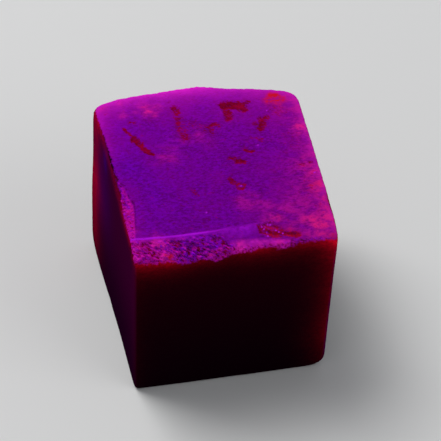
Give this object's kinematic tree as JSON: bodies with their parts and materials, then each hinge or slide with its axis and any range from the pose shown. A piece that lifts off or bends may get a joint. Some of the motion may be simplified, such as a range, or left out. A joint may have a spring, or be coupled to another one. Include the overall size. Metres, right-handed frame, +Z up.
{
  "type": "ruby cube",
  "caption": "Rough-sawn cube of ruby with worn edges, a chipped top edge and small natural pits; rests on its flat bottom face.",
  "frame": {"origin": "middle of the block's outline, on the flat bottom face it rests on", "axes": "+Z up, -Y towards the front face with the chipped top edge, +X to the right of that face"},
  "size_m": [0.021, 0.0222, 0.0203],
  "materials": {
    "ruby": "rough-sawn, frosted violet to magenta skin with dark red where it is bare"
  },
  "bodies": {
    "root": {"ruby_cube": "ruby"}
  },
  "joints": []
}
